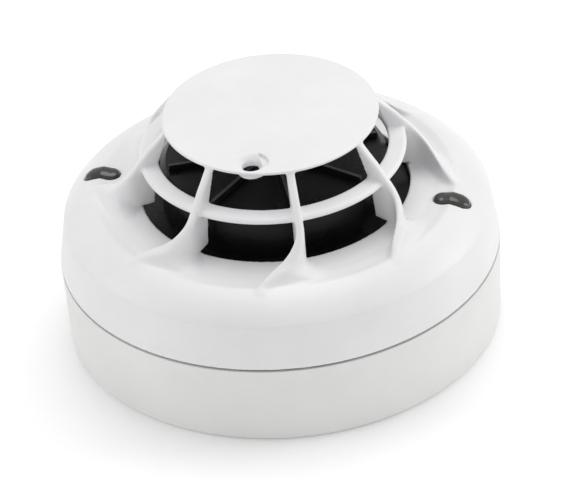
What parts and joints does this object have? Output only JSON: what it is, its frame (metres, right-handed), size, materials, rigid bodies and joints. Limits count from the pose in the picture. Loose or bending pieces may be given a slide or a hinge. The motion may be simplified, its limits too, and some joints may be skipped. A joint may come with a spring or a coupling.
{
  "type": "point heat detector with twist-lock base",
  "caption": "White round heat detector head with curved fins round open vents, a flat disc on top and two smoked indicator windows, on a twist-lock mounting base.",
  "frame": {"origin": "centre of the mounting base's underside, the face that meets the ceiling", "axes": "+Z from the ceiling towards the disc, -Y is the side the picture is taken from"},
  "size_m": [0.102, 0.102, 0.0558],
  "materials": {
    "white_cover_plastic": "fine satin moulded",
    "white_base_plastic": "fine satin moulded",
    "black_chamber_plastic": "glossy moulded",
    "smoked_lens": "clear smoked",
    "brass": "stamped",
    "spring_steel": "stamped, tinned",
    "plated_steel": "zinc plated",
    "green_board": "solder mask",
    "black_component": "moulded package",
    "capacitor_can": "drawn can",
    "switch_blue": "moulded",
    "dial_white": "moulded",
    "rubber": "moulded",
    "lamp_clear": "clear dome",
    "glass": "drawn tube",
    "thermistor_coat": "dipped epoxy",
    "tinned_wire": "tinned"
  },
  "bodies": {
    "base": {"mounting_base": "white_base_plastic", "clamp_plates": "spring_steel", "terminal_screws": "plated_steel", "terminal_plate_1": "brass", "terminal_plate_2": "brass", "terminal_plate_3": "brass", "terminal_plate_4": "brass"},
    "locking_tab_body": {"locking_tab": "white_base_plastic"},
    "dial_tens": {"address_dial_tens": "dial_white"},
    "dial_units": {"address_dial_units": "dial_white"},
    "spring_1": {"contact_spring_1": "spring_steel"},
    "spring_2": {"contact_spring_2": "spring_steel"},
    "spring_3": {"contact_spring_3": "spring_steel"},
    "spring_4": {"contact_spring_4": "spring_steel"},
    "head": {"address_switch_tens": "switch_blue", "address_switch_units": "switch_blue", "alarm_lamp_left": "lamp_clear", "alarm_lamp_right": "lamp_clear", "blade_rivets": "brass", "chamber_flange": "black_chamber_plastic", "chip_resistors": "black_component", "circuit_board": "green_board", "contact_blade_1": "brass", "contact_blade_2": "brass", "contact_blade_3": "brass", "contact_blade_4": "brass", "cover_disc": "white_cover_plastic", "cover_fins": "white_cover_plastic", "cover_screws": "plated_steel", "filter_capacitors": "capacitor_can", "inner_chamber": "black_chamber_plastic", "light_guide_left": "smoked_lens", "light_guide_right": "smoked_lens", "line_interface_chip": "black_component", "microcontroller": "black_component", "outer_cover": "white_cover_plastic", "rear_housing": "white_base_plastic", "reed_switch": "glass", "reference_thermistor": "thermistor_coat", "seal_ring": "rubber", "thermistor_bead": "thermistor_coat", "thermistor_holder": "black_chamber_plastic", "thermistor_leads": "tinned_wire", "vent_ring": "white_cover_plastic"}
  },
  "joints": [
    {"name": "head_twist", "type": "hinge", "parent": "base", "child": "head", "pos_m": [0, 0, 0.0122], "axis": [0, 0, 1], "range_deg": [0, 20]},
    {"name": "contact_spring_1_flex", "type": "hinge", "parent": "base", "child": "spring_1", "pos_m": [0.02362, -0.02729, 0.0066], "axis": [-0.7071, 0.7071, 0], "range_deg": [0, 5], "stiffness_Nm_per_rad": 0.05},
    {"name": "contact_spring_2_flex", "type": "hinge", "parent": "base", "child": "spring_2", "pos_m": [0.02729, 0.02362, 0.0066], "axis": [-0.7071, -0.7071, 0], "range_deg": [0, 5], "stiffness_Nm_per_rad": 0.05},
    {"name": "contact_spring_3_flex", "type": "hinge", "parent": "base", "child": "spring_3", "pos_m": [-0.02362, 0.02729, 0.0066], "axis": [0.7071, -0.7071, 0], "range_deg": [0, 5], "stiffness_Nm_per_rad": 0.05},
    {"name": "contact_spring_4_flex", "type": "hinge", "parent": "base", "child": "spring_4", "pos_m": [-0.02729, -0.02362, 0.0066], "axis": [0.7071, 0.7071, 0], "range_deg": [0, 5], "stiffness_Nm_per_rad": 0.05},
    {"name": "locking_tab_press", "type": "hinge", "parent": "base", "child": "locking_tab_body", "pos_m": [0.04018, -0.0232, 0.0028], "axis": [0.5, 0.866, 0], "range_deg": [0, 6], "stiffness_Nm_per_rad": 0.05},
    {"name": "address_dial_tens_turn", "type": "hinge", "parent": "head", "child": "dial_tens", "pos_m": [0.00692, 0.01553, 0.015], "axis": [0, 0, -1], "continuous": true},
    {"name": "address_dial_units_turn", "type": "hinge", "parent": "head", "child": "dial_units", "pos_m": [-0.00692, 0.01553, 0.015], "axis": [0, 0, -1], "continuous": true}
  ]
}
